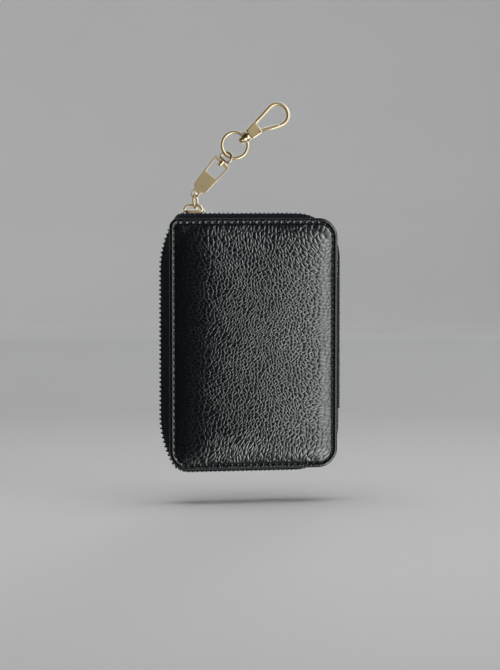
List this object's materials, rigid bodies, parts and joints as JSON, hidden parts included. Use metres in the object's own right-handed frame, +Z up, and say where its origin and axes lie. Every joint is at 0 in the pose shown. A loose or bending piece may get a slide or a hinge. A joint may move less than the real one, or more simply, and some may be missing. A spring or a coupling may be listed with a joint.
{
  "type": "zip wallet",
  "caption": "Padded black leather zip wallet that opens like a book, with card pockets inside and a pull chain of plate, ring and snap hook on its zip slider.",
  "frame": {"origin": "bottom centre of the box round the upright wallet and its raised chain", "axes": "+Z up the covers, +Y out of the back cover, +X towards the spine"},
  "size_m": [0.0832, 0.0242, 0.1688],
  "materials": {
    "pebbled_leather": "pebbled grain, semi-gloss",
    "smooth_leather": "smooth, satin",
    "foam": "open-cell foam",
    "board": "pressed board",
    "lining": "twill weave",
    "zip_tape": "woven tape",
    "zip_teeth": "moulded coil",
    "pale_gold": "polished pale gold plating",
    "spring_steel": "plain"
  },
  "bodies": {
    "back_cover": {"back_leather": "pebbled_leather", "back_foam": "foam", "back_board": "board", "back_lining": "lining", "back_slip_pocket": "lining", "back_card_pocket_1": "smooth_leather", "back_card_pocket_2": "smooth_leather", "back_card_pocket_3": "smooth_leather", "back_zip_tape": "zip_tape", "back_zip_teeth": "zip_teeth", "back_spine": "pebbled_leather", "back_top_stop": "pale_gold", "bottom_stop": "pale_gold"},
    "front_cover": {"front_leather": "pebbled_leather", "front_foam": "foam", "front_board": "board", "front_lining": "lining", "front_slip_pocket": "lining", "front_card_pocket_1": "smooth_leather", "front_card_pocket_2": "smooth_leather", "front_card_pocket_3": "smooth_leather", "front_zip_tape": "zip_tape", "front_zip_teeth": "zip_teeth", "front_spine": "pebbled_leather", "front_top_stop": "pale_gold"},
    "slider": {"zip_slider": "pale_gold"},
    "link": {"jump_ring": "pale_gold"},
    "plate": {"pull_plate": "pale_gold"},
    "swivel": {"plate_swivel": "pale_gold"},
    "ring": {"key_ring": "pale_gold"},
    "eye": {"hook_swivel": "pale_gold"},
    "hook": {"hook_body": "pale_gold", "gate_pin": "spring_steel", "gate_spring": "spring_steel"},
    "gate": {"hook_gate": "pale_gold"}
  },
  "joints": [
    {"name": "cover_hinge", "type": "hinge", "parent": "back_cover", "child": "front_cover", "pos_m": [0.0416, 0, 0.059], "axis": [0, 0, 1], "range_deg": [0, 170]},
    {"name": "zip_slide", "type": "slide", "parent": "back_cover", "child": "slider", "axis": [1, 0, 0], "range_m": [0, 0.041]},
    {"name": "link_swing", "type": "hinge", "parent": "slider", "child": "link", "pos_m": [-0.0252, 0, 0.122], "axis": [1, 0, 0], "range_deg": [-45, 45]},
    {"name": "plate_swing", "type": "hinge", "parent": "link", "child": "plate", "pos_m": [-0.02563, 0, 0.12693], "axis": [0, -1, 0], "range_deg": [-30, 100]},
    {"name": "swivel_spin", "type": "hinge", "parent": "plate", "child": "swivel", "pos_m": [-0.01272, 0, 0.14168], "axis": [0.6587, 0, 0.7524], "continuous": true},
    {"name": "ring_swing", "type": "hinge", "parent": "swivel", "child": "ring", "pos_m": [-0.01051, 0, 0.1442], "axis": [-0.3762, -0.866, 0.3293], "range_deg": [-26, 14]},
    {"name": "hook_travel", "type": "hinge", "parent": "ring", "child": "eye", "pos_m": [-0.00706, 0, 0.14904], "axis": [0, -1, 0], "range_deg": [-90, 90]},
    {"name": "hook_spin", "type": "hinge", "parent": "eye", "child": "hook", "pos_m": [-0.00231, 0, 0.15262], "axis": [0.7986, 0, 0.6018], "continuous": true},
    {"name": "gate_swing", "type": "hinge", "parent": "hook", "child": "gate", "pos_m": [0.00405, 0, 0.15541], "axis": [0, -1, 0], "range_deg": [0, 25], "stiffness_Nm_per_rad": 0.02, "springref_deg": -11.46}
  ]
}
